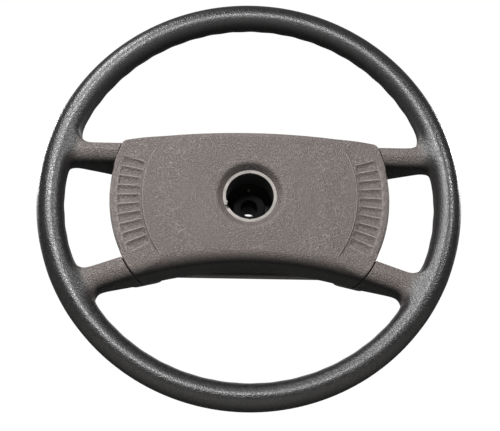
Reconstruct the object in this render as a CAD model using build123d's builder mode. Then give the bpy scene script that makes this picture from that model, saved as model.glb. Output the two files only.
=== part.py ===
from build123d import *
import math
import os

# Four-spoke car steering wheel with a pressing horn pad.
# X points to the driver's right, Z to the top of the wheel, Y along the shaft away from the driver.
# The origin is on the shaft axis at the rear mouth of the hub bore.
# A height is measured from there towards the driver, so a height of h lies at Y = -h.

# Rim
rim_diameter = 385.0
grip_width = 24.0
grip_depth = 26.0
rim_height = 83.0
ring_rod = 10.0

# Spokes: angle of the middle line, its distance above the shaft axis, and its width
upper_spoke_angle = 0.0
upper_spoke_rise = 40.2
upper_spoke_width = 18.5
lower_spoke_angle = -19.5
lower_spoke_rise = -27.1
lower_spoke_width = 21.0
spoke_front_above_rim = 7.5
spoke_edge_radius = 4.5
spoke_root_radius = 11.0

# Pressed spider inside the foam
plate_thickness = 3.0
plate_back = 31.0
plate_radius = 97.0
plate_inset = 12.0
arm_width = 13.0
foam_cover = 5.0

# Pad outline and face
pad_radius = 127.5
pad_top = 59.0
pad_top_arc = 1000.0
pad_bottom = 61.0
pad_bottom_arc = 340.0
pad_face_above_rim = 11.0
pad_crown_radius = 2600.0
pad_side_draft = 6.5
pad_corner_radius = 4.5
pad_edge_radius = 4.0
pad_wall = 6.0
pad_foam = 33.0
plateau_radius = 97.5
plateau_step = 1.3
plateau_edge_radius = 0.8

# Fluted thumb zones
flute_count = 10
flute_pitch = 4.45
flute_top_angle = 17.1
flute_inner_radius = 99.0
flute_outer_radius = 119.5
flute_depth = 1.6
flute_end_slope = 2.5

# Hole for the badge and the way to the shaft nut
mouth_diameter = 61.0
seat_depth = 7.0
seat_ring_diameter = 49.0
seat_ring_width = 2.75
seat_ring_thickness = 2.0
seat_ring_gap = 4.0
seat_ring_gap_angle = 207.0
seat_ring_notch = 1.2
seat_ring_nub = 2.0
seat_ring_nub_angle = 195.0
mouth_edge_radius = 3.0
sleeve_wall = 1.4
sleeve_flange = 4.0

# Hub
boss_length = 50.0
boss_diameter = 34.0
boss_front_diameter = 30.0
bore_diameter = 16.8
pilot_step = 0.4
pilot_length = 30.0
tooth_count = 36
tooth_height = 0.9
tooth_share = 0.8

# Tray of foam behind the pad, and the round skirt behind it
foot_height = 2.25
tray_radius = 118.0
tray_top_inset = 3.0
tray_bottom = 63.5
tray_wall = 5.0
tray_edge_radius = 4.0
skirt_diameter = 120.0
skirt_bore = 98.0
skirt_height = 12.0

# Horn mechanism
press_travel = 2.0
carrier_thickness = 1.5
post_diameter = 12.0
post_length = 10.0
post_inset = 10.5
post_gap = 2.0
upper_post_angle = 23.0
shoulder_diameter = 6.0
screw_thread = 5.0
screw_head_diameter = 10.0
screw_head_height = 4.0
socket_radius = 2.5
socket_depth = 2.0
socket_sides = 6
bush_wall = 1.2
bush_flange_diameter = 14.0
bush_flange = 1.0
spring_diameter = 11.0
spring_wire = 1.2
spring_turns = 4.5
spring_wire_sides = 6
contact_inset = 13.0
contact_diameter = 6.0
contact_dome = 1.6
contact_gap_spare = 0.2
bridge_width = 12.0
bridge_thickness = 1.0
insulator_inset = 41.0
insulator_length = 18.0
insulator_height = 6.0
insulator_corner = 1.3
peg_diameter = 4.0
peg_head_diameter = 7.0
stud_diameter = 4.0

# Slip ring and cancelling cam behind the hub
slip_ring_diameter = 72.0
slip_ring_bore = 54.0
slip_ring_thickness = 1.5
slip_carrier_diameter = 82.0
slip_carrier_bore = 36.0
slip_carrier_thickness = 9.0
carrier_screw_diameter = 3.0
carrier_screw_head = 5.6
carrier_screw_circle = 45.0
carrier_screw_count = 3
carrier_slot_width = 0.8
carrier_slot_depth = 1.0
cam_wall = 2.6
cam_height = 10.0
dog_length = 6.0
dog_width = 7.0

# Clearances
seam_gap = 0.9
fit_gap = 0.1
foam_gap = 0.15
notch_gap = 1.5
tray_gap = 1.0

# Derived sizes
rim_radius = (rim_diameter - grip_width) / 2
pad_face = rim_height + pad_face_above_rim
pad_floor = pad_face - pad_foam
spoke_front = rim_height + spoke_front_above_rim
plate_front = plate_back + plate_thickness
plate_middle = plate_back + plate_thickness / 2
foam_back = plate_back - foam_cover
arm_rise = rim_height - plate_middle
arm_angle = math.atan2(arm_rise, rim_radius - plate_radius)
half_foam = plate_thickness / 2 + foam_cover
carrier_back = pad_floor - carrier_thickness
post_back = carrier_back - post_length
bush_seat = plate_front + bush_flange
bush_tail = plate_back - bush_flange
bush_diameter = shoulder_diameter + 2 * fit_gap + 2 * bush_wall
seat_height = pad_face + plateau_step - seat_depth
bridge_height = plate_front + insulator_height
bridge_z = -(slip_ring_diameter + slip_ring_bore) / 4
contact_x = plate_radius - contact_inset
insulator_x = plate_radius - insulator_inset
slip_carrier_back = plate_back - slip_carrier_thickness
seat_ring_bore = seat_ring_diameter - 2 * seat_ring_width
sleeve_radius = seat_ring_bore / 2 + sleeve_wall
ring_back = seat_height - seat_ring_thickness
bridge_top = bridge_height + bridge_thickness
whole_height = 2 * rim_height

# Drawing planes: the face as the driver sees it, and a half-section with the radius across
front = Plane.XZ
shaft = Axis.Y
sides = {"left": -1, "right": 1}
post_circle = plate_radius - post_inset
upper_post_z = post_circle * math.sin(math.radians(upper_post_angle))
lower_post_z = bridge_z - bridge_width / 2 - post_gap - bush_flange_diameter / 2
posts = {
    f"{level}_{side}": (sign * math.sqrt(post_circle**2 - z**2), z)
    for level, z in (("upper", upper_post_z), ("lower", lower_post_z))
    for side, sign in sides.items()
}
spokes = (
    (upper_spoke_angle, upper_spoke_rise, upper_spoke_width),
    (lower_spoke_angle, lower_spoke_rise, lower_spoke_width),
)

os.makedirs("parts", exist_ok=True)


def section(x=0.0, z=0.0):
    """Plane of a half-section about a line along the shaft at (x, z): radius across, height up."""
    return Plane(origin=(x, 0, z), x_dir=(1, 0, 0), z_dir=(0, 0, -1))


def line_at(x, z):
    """Line along the shaft direction through (x, z)."""
    return Axis((x, 0, z), (0, 1, 0))


def outline(*points):
    """Closed face through the given points of the current sketch."""
    with BuildLine() as border:
        Polyline(*points, close=True)
    make_face(border.edges())


def arch(radius, x):
    """Drop of an arc of this radius at the distance x from its middle."""
    return radius - math.sqrt(radius**2 - x**2)


def pad_band(top_inset=0.0, bottom_inset=0.0):
    """Face between the pad's arched top and bottom edges, wider than the pad."""
    reach = pad_radius + grip_width
    top = pad_top - top_inset
    bottom = -pad_bottom + bottom_inset
    top_end = top - arch(pad_top_arc, reach)
    bottom_end = bottom - arch(pad_bottom_arc, reach)
    with BuildLine() as border:
        ThreePointArc((-reach, top_end), (0, top), (reach, top_end))
        ThreePointArc((-reach, bottom_end), (0, bottom), (reach, bottom_end))
        Line((-reach, top_end), (-reach, bottom_end))
        Line((reach, top_end), (reach, bottom_end))
    make_face(border.edges())


def tray_outline(inset):
    """Outline of the tray: round ends, the pad's arched top edge and a straight bottom edge."""
    middle = (pad_top - tray_top_inset - tray_bottom) / 2
    pad_band(tray_top_inset + inset, -tray_radius)
    Circle(tray_radius - inset, mode=Mode.INTERSECT)
    with Locations((0, middle)):
        Rectangle(2 * tray_radius, 2 * (middle + tray_bottom - inset), mode=Mode.INTERSECT)


def pad_side(height):
    """Radius of the pad's drafted side wall at a height."""
    return pad_radius - (pad_face - height) * math.tan(math.radians(pad_side_draft))


def crown(radius, apex=pad_face):
    """Height of the pad's crowned face at a radius from the shaft axis."""
    return apex - arch(pad_crown_radius, radius)


def crowned_section(apex, radius_top, radius_bottom, bottom):
    """Half-section of a drafted disc with a crowned face."""
    edge = (radius_top, crown(radius_top, apex))
    with BuildLine() as border:
        ThreePointArc((0, apex), (radius_top / 2, crown(radius_top / 2, apex)), edge)
        Polyline(edge, (radius_bottom, bottom), (0, bottom), (0, apex))
    make_face(border.edges())


def arm_line(radius, offset):
    """Height, at a radius, of a line parallel to the middle of the sloping arms."""
    climb = (radius - plate_radius) * math.tan(arm_angle)
    return plate_middle + climb + offset / math.cos(arm_angle)


def bend(offset):
    """Radius at which the flat plate meets the sloping arm, on a face offset from the middle."""
    return plate_radius - offset * math.tan(arm_angle / 2)


def spoke_point(angle, rise, along):
    """Point of a spoke's middle line, as seen from the front."""
    turn = math.radians(angle)
    across = along * math.cos(turn) - rise * math.sin(turn)
    up = along * math.sin(turn) + rise * math.cos(turn)
    return across, up


def across_spoke(angle, rise, radius):
    """Plane across a right-hand spoke where its middle line is at this radius, height up."""
    turn = math.radians(angle)
    x, z = spoke_point(angle, rise, math.sqrt(radius**2 - rise**2))
    along = (math.cos(turn), 0, math.sin(turn))
    return Plane(origin=(x, 0, z), x_dir=(-math.sin(turn), 0, math.cos(turn)), z_dir=along)


def arm_bands(width):
    """Four straight bands, as seen from the front, along the middle lines of the spokes."""
    for angle, rise, _ in spokes:
        x, z = spoke_point(angle, rise, rim_radius / 2)
        for sign in sides.values():
            with Locations((sign * x, z)):
                Rectangle(rim_radius + grip_depth, width, rotation=sign * angle)


def half_plate(gap):
    """Half-section of the spider: a flat plate that slopes up into the arms."""
    half = plate_thickness / 2 + gap
    outline(
        (boss_front_diameter / 2 + fit_gap, plate_middle - half),
        (bend(-half), plate_middle - half),
        (rim_radius, arm_line(rim_radius, -half)),
        (rim_radius, arm_line(rim_radius, half)),
        (bend(half), plate_middle + half),
        (boss_front_diameter / 2 + fit_gap, plate_middle + half),
    )


def distance_from_shaft(shape):
    """Distance of the middle of an edge or face from the shaft axis."""
    return math.hypot(shape.center().X, shape.center().Z)


def save(piece, name):
    """Label a finished piece and write it under its own name."""
    piece.part.label = name
    export_step(piece.part, f"parts/{name}.step")


# Heights where the arms leave the tray: its wall keeps a hold on their foam, and the pad clears it
tray_height = arm_line(pad_side(plate_front) + seam_gap, -half_foam) + foot_height
pad_rear = tray_height + press_travel + tray_gap
pad_depth = pad_face - pad_rear
notch_top = arm_line(pad_side(pad_rear), plate_thickness / 2) + press_travel + notch_gap

# Steel rod ring at the middle of the rim
with BuildPart() as rim_ring:
    with BuildSketch(section()):
        with Locations((rim_radius, rim_height)):
            Circle(ring_rod / 2)
    revolve(axis=shaft)
save(rim_ring, "rim_ring")

# Pressed spider: hub plate and four arms that rise to the ring
with BuildPart() as spoke_spider:
    with BuildSketch(section()):
        half_plate(0)
    revolve(axis=shaft)
    with BuildSketch(front):
        pad_band(plate_inset, plate_inset)
        Circle(plate_radius, mode=Mode.INTERSECT)
        arm_bands(arm_width)
    extrude(amount=whole_height, mode=Mode.INTERSECT)
    with BuildSketch(section()):
        with Locations((rim_radius, rim_height)):
            Circle(ring_rod / 2 + fit_gap)
    revolve(axis=shaft, mode=Mode.SUBTRACT)
    with BuildSketch(front):
        with Locations(*posts.values()):
            Circle(bush_diameter / 2 + fit_gap)
        with Locations((0, bridge_z)):
            Circle(stud_diameter + fit_gap)
        with Locations((-insulator_x, bridge_z), (insulator_x, bridge_z)):
            Circle(peg_diameter / 2 + fit_gap)
        with PolarLocations(carrier_screw_circle / 2, carrier_screw_count, 90):
            Circle(carrier_screw_diameter / 2 + fit_gap)
    extrude(amount=whole_height, mode=Mode.SUBTRACT)
save(spoke_spider, "spoke_spider")

# Room for the arms and the ring inside the foam
with BuildPart() as skeleton_room:
    with BuildSketch(section()):
        half_plate(foam_gap)
    revolve(axis=shaft)
    with BuildSketch(front):
        arm_bands(arm_width + 2 * foam_gap)
    extrude(amount=whole_height, mode=Mode.INTERSECT)
    with BuildSketch(section()):
        with Locations((rim_radius, rim_height)):
            Circle(ring_rod / 2 + foam_gap)
    revolve(axis=shaft)

# Block that the tray behind the pad is hollowed from, with the round skirt on its back
with BuildPart() as tray:
    with BuildSketch(front.offset(foam_back)):
        tray_outline(0)
    extrude(amount=tray_height - foam_back)
    fillet(tray.edges().group_by(Axis.Y)[-1], radius=tray_edge_radius)
    with BuildSketch(front.offset(skirt_height)):
        Circle(skirt_diameter / 2)
    extrude(amount=plate_back - skirt_height)
    fillet(tray.edges().group_by(Axis.Y)[-1], radius=tray_edge_radius)

# Foam moulding: rim, spokes, and the tray with its round skirt behind the hub
with BuildPart() as grip_moulding:
    for angle, rise, width in spokes:
        for radius in (bend(-half_foam), rim_radius):
            back = arm_line(radius, -half_foam)
            with BuildSketch(across_spoke(angle, rise, radius)):
                with Locations((0, (spoke_front + back) / 2)):
                    RectangleRounded(width, spoke_front - back, spoke_edge_radius)
        loft()
    mirror(about=Plane.YZ)
    with BuildSketch(section()):
        outline(
            (0, tray_height),
            (pad_side(tray_height) + seam_gap, tray_height),
            (pad_side(pad_face) + seam_gap, pad_face),
            (0, pad_face),
        )
    revolve(axis=shaft, mode=Mode.SUBTRACT)
    with BuildSketch(section()):
        with Locations((rim_radius, rim_height)):
            Ellipse(grip_width / 2, grip_depth / 2)
    revolve(axis=shaft)
    roots = grip_moulding.edges().filter_by(GeomType.BSPLINE).filter_by(
        lambda edge: distance_from_shaft(edge) > rim_radius - grip_width
    )
    fillet(roots, radius=spoke_root_radius)
    add(tray.part)
    with BuildSketch(front.offset(plate_back)):
        tray_outline(tray_wall)
    extrude(amount=tray_height - plate_back, mode=Mode.SUBTRACT)
    with BuildSketch(front):
        Circle(skirt_bore / 2)
        with Locations(*posts.values()):
            Circle(screw_head_diameter / 2 + notch_gap)
    extrude(amount=plate_back, mode=Mode.SUBTRACT)
    add(skeleton_room.part, mode=Mode.SUBTRACT)
save(grip_moulding, "grip_moulding")

# Plateau in the middle of the pad's face, a step above the thumb zones
with BuildPart() as plateau:
    with BuildSketch(section()):
        crowned_section(pad_face + plateau_step, plateau_radius, plateau_radius, pad_floor)
    revolve(axis=shaft)
    with BuildSketch(front):
        pad_band()
    extrude(amount=whole_height, mode=Mode.INTERSECT)
    long_edges = plateau.edges().filter_by(
        lambda edge: abs(edge.center().X) < fit_gap and -edge.center().Y > pad_floor + fit_gap
    )
    fillet(long_edges, radius=pad_edge_radius)
    step_edges = plateau.edges().filter_by(GeomType.CIRCLE).filter_by(
        lambda edge: abs(crown(plateau_radius, pad_face + plateau_step) + edge.center().Y) < fit_gap
    )
    fillet(step_edges, radius=plateau_edge_radius)

# Hollow behind the pad, inside its side walls
with BuildPart() as pad_hollow:
    with BuildSketch(section()):
        outline(
            (0, 0),
            (pad_side(pad_rear) - pad_wall, 0),
            (pad_side(pad_rear) - pad_wall, pad_rear),
            (pad_side(pad_floor) - pad_wall, pad_floor),
            (0, pad_floor),
        )
    revolve(axis=shaft)
    with BuildSketch(front):
        pad_band(pad_wall, pad_wall)
    extrude(amount=whole_height, mode=Mode.INTERSECT)

# Cutter for one flute of the thumb zones, along X and with sloping ends
flute_half_width = flute_outer_radius * math.sin(math.radians(flute_pitch / 2))
flute_radius = (flute_half_width**2 + flute_depth**2) / (2 * flute_depth)
flute_length = flute_outer_radius - flute_inner_radius
with BuildPart() as flute:
    Cylinder(flute_radius, flute_length, rotation=(0, 90, 0))
    chamfer(flute.edges().filter_by(GeomType.CIRCLE), length=flute_end_slope)


def flute_place(sign, number):
    """Place of one flute: X outwards along the crowned face, Z out of the face."""
    turn = math.radians(flute_top_angle - (number + 0.5) * flute_pitch)
    radius = (flute_inner_radius + flute_outer_radius) / 2
    slope = math.asin(radius / pad_crown_radius)
    lift = flute_radius - flute_depth
    outwards = Vector(sign * math.cos(turn), math.tan(slope), math.sin(turn)).normalized()
    sideways = Vector(-math.sin(turn), 0, sign * math.cos(turn))
    out_of_face = outwards.cross(sideways)
    foot = Vector(sign * radius * math.cos(turn), -crown(radius), radius * math.sin(turn))
    return Location(Plane(origin=foot + out_of_face * lift, x_dir=outwards, z_dir=out_of_face))


flute_places = [flute_place(sign, number) for sign in sides.values() for number in range(flute_count)]

# Horn pad: crowned foam block with side walls, fluted thumb zones and the badge hole
with BuildPart() as horn_pad:
    with BuildSketch(section()):
        crowned_section(pad_face, pad_radius, pad_side(pad_rear), pad_rear)
    revolve(axis=shaft)
    with BuildSketch(front):
        pad_band()
    extrude(amount=whole_height, mode=Mode.INTERSECT)
    corners = horn_pad.edges().filter_by(
        lambda edge: edge.length > pad_depth / 2 and pad_rear < -edge.center().Y < crown(pad_radius)
    )
    fillet(corners, radius=pad_corner_radius)
    face_edges = horn_pad.edges().filter_by(
        lambda edge: -edge.center().Y > crown(pad_radius) - fit_gap
        and distance_from_shaft(edge) > pad_radius / 2 + fit_gap
        or abs(edge.center().X) < fit_gap and -edge.center().Y > pad_floor
    )
    fillet(face_edges, radius=pad_edge_radius)
    with Locations(*flute_places):
        add(flute.part, mode=Mode.SUBTRACT)
    add(plateau.part)
    add(pad_hollow.part, mode=Mode.SUBTRACT)
    with BuildSketch(front):
        arm_bands(arm_width + 2 * notch_gap)
    extrude(amount=notch_top, mode=Mode.SUBTRACT)
    with BuildSketch(section()):
        outline(
            (0, 0),
            (sleeve_radius + fit_gap, 0),
            (sleeve_radius + fit_gap, ring_back),
            (seat_ring_diameter / 2 + fit_gap, ring_back),
            (seat_ring_diameter / 2 + fit_gap, seat_height),
            (mouth_diameter / 2, crown(mouth_diameter / 2, pad_face + plateau_step)),
            (mouth_diameter, whole_height),
            (0, whole_height),
        )
    revolve(axis=shaft, mode=Mode.SUBTRACT)
    mouth = horn_pad.edges().filter_by(
        lambda edge: abs(edge.length - math.pi * mouth_diameter) < 1 and edge.is_closed
    )
    fillet(mouth, radius=mouth_edge_radius)
save(horn_pad, "horn_pad")

# Split ring on the floor of the hole, with two small notches in its bore and a nub beside its gap
with BuildPart() as badge_ring:
    with BuildSketch(front.offset(ring_back)):
        Circle(seat_ring_diameter / 2)
        Circle(seat_ring_bore / 2, mode=Mode.SUBTRACT)
        with PolarLocations(seat_ring_bore / 2, 1, seat_ring_gap_angle):
            Rectangle(seat_ring_diameter / 2, seat_ring_gap, mode=Mode.SUBTRACT)
        with PolarLocations(seat_ring_bore / 2, 2, 90):
            Circle(seat_ring_notch / 2, mode=Mode.SUBTRACT)
        with PolarLocations(seat_ring_bore / 2, 1, seat_ring_nub_angle):
            Circle(seat_ring_nub / 2)
    extrude(amount=seat_ring_thickness)
save(badge_ring, "badge_ring")

# Dark sleeve that lines the way to the shaft nut, flanged behind the carrier
with BuildPart() as access_sleeve:
    with BuildSketch(section()):
        outline(
            (seat_ring_bore / 2, carrier_back - carrier_thickness),
            (sleeve_radius + sleeve_flange, carrier_back - carrier_thickness),
            (sleeve_radius + sleeve_flange, carrier_back),
            (sleeve_radius, carrier_back),
            (sleeve_radius, ring_back),
            (seat_ring_bore / 2, ring_back),
        )
    revolve(axis=shaft)
save(access_sleeve, "access_sleeve")

# Steel plate that the pad's foam is moulded on
with BuildPart() as pad_carrier:
    with BuildSketch(front.offset(carrier_back)):
        pad_band(pad_wall + foam_gap, pad_wall + foam_gap)
        Circle(pad_side(carrier_back) - pad_wall - foam_gap, mode=Mode.INTERSECT)
        Circle(sleeve_radius + fit_gap, mode=Mode.SUBTRACT)
    extrude(amount=carrier_thickness)
save(pad_carrier, "pad_carrier")

# Four posts on the carrier, their springs, and the bushes in the spider that guide the screws
for place, (x, z) in posts.items():
    with BuildPart() as carrier_post:
        with BuildSketch(front.offset(post_back)):
            with Locations((x, z)):
                Circle(post_diameter / 2)
                Circle(screw_thread / 2 + fit_gap, mode=Mode.SUBTRACT)
        extrude(amount=post_length)
    save(carrier_post, f"carrier_post_{place}")

    with BuildPart() as guide_bush:
        with BuildSketch(front.offset(bush_tail)):
            with Locations((x, z)):
                Circle(bush_diameter / 2)
        extrude(amount=bush_seat - bush_tail)
        with BuildSketch(front.offset(plate_front)):
            with Locations((x, z)):
                Circle(bush_flange_diameter / 2)
        extrude(amount=bush_flange)
        with BuildSketch(front):
            with Locations((x, z)):
                Circle(shoulder_diameter / 2 + fit_gap)
        extrude(amount=whole_height, mode=Mode.SUBTRACT)
    save(guide_bush, f"guide_bush_{place}")

    spring_foot = bush_seat + spring_wire / 2 + fit_gap
    spring_room = post_back - bush_seat - spring_wire - 2 * fit_gap
    spring_radius = (spring_diameter - spring_wire) / 2
    with BuildPart() as horn_spring:
        with BuildLine():
            coil = Helix(
                spring_room / spring_turns,
                spring_room,
                spring_radius,
                center=(x, -spring_foot, z),
                direction=(0, -1, 0),
            )
        with BuildSketch(Plane(origin=coil @ 0, z_dir=coil % 0)):
            RegularPolygon(spring_wire / 2, spring_wire_sides)
        sweep(is_frenet=True)
    save(horn_spring, f"horn_spring_{place}")

# Shoulder screws from behind, through the bushes into the posts
with BuildPart() as shoulder_screws:
    for x, z in posts.values():
        with BuildSketch(section(x, z)):
            outline(
                (0, bush_tail - screw_head_height),
                (screw_head_diameter / 2, bush_tail - screw_head_height),
                (screw_head_diameter / 2, bush_tail),
                (shoulder_diameter / 2, bush_tail),
                (shoulder_diameter / 2, post_back),
                (screw_thread / 2, post_back),
                (screw_thread / 2, post_back + post_length - fit_gap),
                (0, post_back + post_length - fit_gap),
            )
        revolve(axis=line_at(x, z))
    with BuildSketch(front.offset(bush_tail - screw_head_height)):
        with Locations(*posts.values()):
            RegularPolygon(socket_radius, socket_sides)
    extrude(amount=socket_depth, mode=Mode.SUBTRACT)
save(shoulder_screws, "shoulder_screws")

# Turned hub: plain pilot bore behind, serrated bore in front
with BuildPart() as hub_boss:
    with BuildSketch(section()):
        outline(
            (0, 0),
            (boss_diameter / 2, 0),
            (boss_diameter / 2, plate_back),
            (boss_front_diameter / 2, plate_back),
            (boss_front_diameter / 2, boss_length),
            (0, boss_length),
        )
    revolve(axis=shaft)
    chamfer(hub_boss.edges().group_by(Axis.Y)[0], length=tooth_height)
    with BuildSketch(front):
        Circle(bore_diameter / 2 + pilot_step)
    extrude(amount=pilot_length, mode=Mode.SUBTRACT)
    tooth_base = math.pi * bore_diameter / tooth_count * tooth_share
    with BuildSketch(front.offset(pilot_length)):
        Circle(bore_diameter / 2)
        with PolarLocations(bore_diameter / 2, tooth_count):
            Polygon(
                (fit_gap, -tooth_base / 2),
                (fit_gap, tooth_base / 2),
                (-tooth_height, 0),
                align=None,
                mode=Mode.SUBTRACT,
            )
    extrude(amount=boss_length - pilot_length, mode=Mode.SUBTRACT)
save(hub_boss, "hub_boss")

# Insulating carrier of the slip ring, with a tube that takes the terminal through the spider
with BuildPart() as slip_ring_carrier:
    with BuildSketch(front.offset(slip_carrier_back)):
        Circle(slip_carrier_diameter / 2)
        Circle(slip_carrier_bore / 2, mode=Mode.SUBTRACT)
    extrude(amount=slip_carrier_thickness)
    with BuildSketch(front.offset(slip_carrier_back)):
        with Locations((0, bridge_z)):
            Circle(stud_diameter)
    extrude(amount=bridge_height - slip_carrier_back)
    with BuildSketch(front):
        with Locations((0, bridge_z)):
            Circle(stud_diameter / 2 + fit_gap)
        with PolarLocations(carrier_screw_circle / 2, carrier_screw_count, 90):
            Circle(carrier_screw_diameter / 2 + fit_gap)
    extrude(amount=whole_height, mode=Mode.SUBTRACT)
    with BuildSketch(front.offset(slip_carrier_back)):
        with PolarLocations(carrier_screw_circle / 2, carrier_screw_count, 90):
            Circle(carrier_screw_head / 2 + fit_gap)
    extrude(amount=carrier_screw_diameter, mode=Mode.SUBTRACT)
save(slip_ring_carrier, "slip_ring_carrier")

# Screws that hold the slip ring's carrier on the spider, sunk in its back
with BuildPart() as carrier_screws:
    with BuildSketch(front.offset(slip_carrier_back)):
        with PolarLocations(carrier_screw_circle / 2, carrier_screw_count, 90):
            Circle(carrier_screw_head / 2)
    extrude(amount=carrier_screw_diameter)
    with BuildSketch(front.offset(slip_carrier_back)):
        with PolarLocations(carrier_screw_circle / 2, carrier_screw_count, 90):
            Circle(carrier_screw_diameter / 2)
    extrude(amount=bush_seat - slip_carrier_back)
    with BuildSketch(front.offset(slip_carrier_back)):
        with PolarLocations(carrier_screw_circle / 2, carrier_screw_count, 90):
            Rectangle(carrier_screw_head, carrier_slot_width)
    extrude(amount=carrier_slot_depth, mode=Mode.SUBTRACT)
save(carrier_screws, "carrier_screws")

# Brass slip ring on the back of its carrier
with BuildPart() as slip_ring:
    with BuildSketch(front.offset(slip_carrier_back - slip_ring_thickness)):
        Circle(slip_ring_diameter / 2)
        Circle(slip_ring_bore / 2, mode=Mode.SUBTRACT)
    extrude(amount=slip_ring_thickness)
save(slip_ring, "slip_ring")

# Terminal stud from the slip ring to the contact bridge, headed over on the bridge
with BuildPart() as terminal_stud:
    with BuildSketch(section(0, bridge_z)):
        outline(
            (0, slip_carrier_back),
            (stud_diameter / 2, slip_carrier_back),
            (stud_diameter / 2, bridge_top),
            (stud_diameter, bridge_top),
            (stud_diameter, bridge_top + bridge_thickness),
            (0, bridge_top + bridge_thickness),
        )
    revolve(axis=line_at(0, bridge_z))
save(terminal_stud, "terminal_stud")

# Brass strip in front of the spider with a domed contact at each end
with BuildPart() as contact_bridge:
    with BuildSketch(front.offset(bridge_height)):
        with Locations((0, bridge_z)):
            SlotCenterToCenter(2 * contact_x, bridge_width)
            Circle(stud_diameter / 2 + fit_gap, mode=Mode.SUBTRACT)
        with Locations((-insulator_x, bridge_z), (insulator_x, bridge_z)):
            Circle(peg_diameter / 2 + fit_gap, mode=Mode.SUBTRACT)
    extrude(amount=bridge_thickness)
    with BuildSketch(front.offset(bridge_top)):
        with Locations((-contact_x, bridge_z), (contact_x, bridge_z)):
            Circle(contact_diameter / 2)
    extrude(amount=contact_dome)
    domes = contact_bridge.edges().group_by(Axis.Y)[0]
    fillet(domes, radius=contact_dome / 2)
save(contact_bridge, "contact_bridge")

for side, sign in sides.items():
    # Insulator under the bridge, pegged into the spider and headed over on the bridge
    with BuildPart() as contact_insulator:
        with BuildSketch(front.offset(plate_front)):
            with Locations((sign * insulator_x, bridge_z)):
                RectangleRounded(insulator_length, bridge_width, insulator_corner)
        extrude(amount=insulator_height)
        with BuildSketch(front.offset(plate_back)):
            with Locations((sign * insulator_x, bridge_z)):
                Circle(peg_diameter / 2)
        extrude(amount=bridge_top - plate_back)
        with BuildSketch(front.offset(bridge_top)):
            with Locations((sign * insulator_x, bridge_z)):
                Circle(peg_head_diameter / 2)
        extrude(amount=bridge_thickness)
    save(contact_insulator, f"contact_insulator_{side}")

    # Moving contact, a stud on the carrier that comes down on the bridge
    contact_tip = bridge_top + contact_dome + press_travel + contact_gap_spare
    with BuildPart() as moving_contact:
        with BuildSketch(front.offset(contact_tip)):
            with Locations((sign * contact_x, bridge_z)):
                Circle(contact_diameter / 2)
        extrude(amount=carrier_back - contact_tip)
        fillet(moving_contact.edges().group_by(Axis.Y)[-1], radius=contact_dome / 2)
    save(moving_contact, f"moving_contact_{side}")

# Cancelling cam on the hub, with two dogs that point back to the indicator switch
cam_inner = boss_diameter / 2 + fit_gap
with BuildPart() as cancel_cam:
    with BuildSketch(front.offset(slip_carrier_back - cam_height)):
        Circle(cam_inner + cam_wall)
        Circle(cam_inner, mode=Mode.SUBTRACT)
    extrude(amount=cam_height)
    with BuildSketch(front.offset(slip_carrier_back - cam_height - dog_length)):
        Circle(cam_inner + cam_wall)
        Circle(cam_inner, mode=Mode.SUBTRACT)
        Rectangle(boss_diameter + 4 * cam_wall, dog_width, mode=Mode.INTERSECT)
    extrude(amount=dog_length)
save(cancel_cam, "cancel_cam")
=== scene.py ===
# %% [markdown]
# # A car steering wheel with a padded horn button
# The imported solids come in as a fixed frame, in metres. X points to the driver's right, Z up and
# Y away from the driver, along the shaft. A height is measured from the rear of the hub towards
# the driver, so a height h lies at Y = -h. The steps below rebuild the two soft mouldings that a
# driver sees and holds, and the four horn springs. The other inner pieces keep their shape and get
# their finish.

# %% Load the frame
import math
from collections import namedtuple

import bmesh
import bpy
import numpy as np
from mathutils import Matrix, Vector


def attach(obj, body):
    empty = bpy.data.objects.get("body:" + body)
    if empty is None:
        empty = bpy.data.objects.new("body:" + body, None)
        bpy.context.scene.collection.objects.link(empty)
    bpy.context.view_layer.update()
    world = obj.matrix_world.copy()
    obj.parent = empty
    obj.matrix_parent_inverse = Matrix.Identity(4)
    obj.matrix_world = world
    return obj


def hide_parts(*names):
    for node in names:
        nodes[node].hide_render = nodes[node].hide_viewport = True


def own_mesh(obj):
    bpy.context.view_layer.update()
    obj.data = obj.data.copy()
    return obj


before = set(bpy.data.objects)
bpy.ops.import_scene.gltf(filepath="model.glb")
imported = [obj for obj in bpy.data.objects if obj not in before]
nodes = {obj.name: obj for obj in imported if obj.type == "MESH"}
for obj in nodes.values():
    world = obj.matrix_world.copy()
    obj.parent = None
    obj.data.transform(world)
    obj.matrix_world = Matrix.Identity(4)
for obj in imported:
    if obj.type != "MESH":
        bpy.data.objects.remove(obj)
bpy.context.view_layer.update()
MM = 0.001

# %% [markdown]
# ## The camera
# The photograph was taken from below the middle of the wheel, looking up at it by about 17 degrees.
# The ellipses of the rim give the place and the focal length. The three directions are written out
# as a turn matrix, because a camera that is aimed at a point would lose the small roll.

# %% Camera at the photograph's place
PHOTO_WIDTH = 500
FOCAL_PIXELS = 992.7
CAMERA_PLACE = Vector((-0.0178, -0.9428, -0.2734))
CAMERA_RIGHT = Vector((0.99963, -0.02464, 0.01149))
CAMERA_UP = Vector((-0.01804, -0.28542, 0.95824))
CAMERA_BACK = Vector((-0.02033, -0.95809, -0.28575))

camera = bpy.data.objects.new("camera", bpy.data.cameras.new("camera"))
bpy.context.scene.collection.objects.link(camera)
turn = Matrix((CAMERA_RIGHT, CAMERA_UP, CAMERA_BACK)).transposed().to_4x4()
camera.matrix_world = Matrix.Translation(CAMERA_PLACE) @ turn
camera.data.lens = FOCAL_PIXELS * camera.data.sensor_width / PHOTO_WIDTH
bpy.context.scene.camera = camera
print("lens", round(camera.data.lens, 1), "mm")

# %% [markdown]
# ## Helpers for meshes and nodes
# A piece is made from plain lists of points and faces, in millimetres as seen by the driver:
# across, up and height. One function adds any node, for shapes and for finishes alike: a number is
# set on the socket, and another node's output is linked to it. A kind that names no family is a
# shader node: Geometry Nodes share those for sums and vectors.

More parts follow.
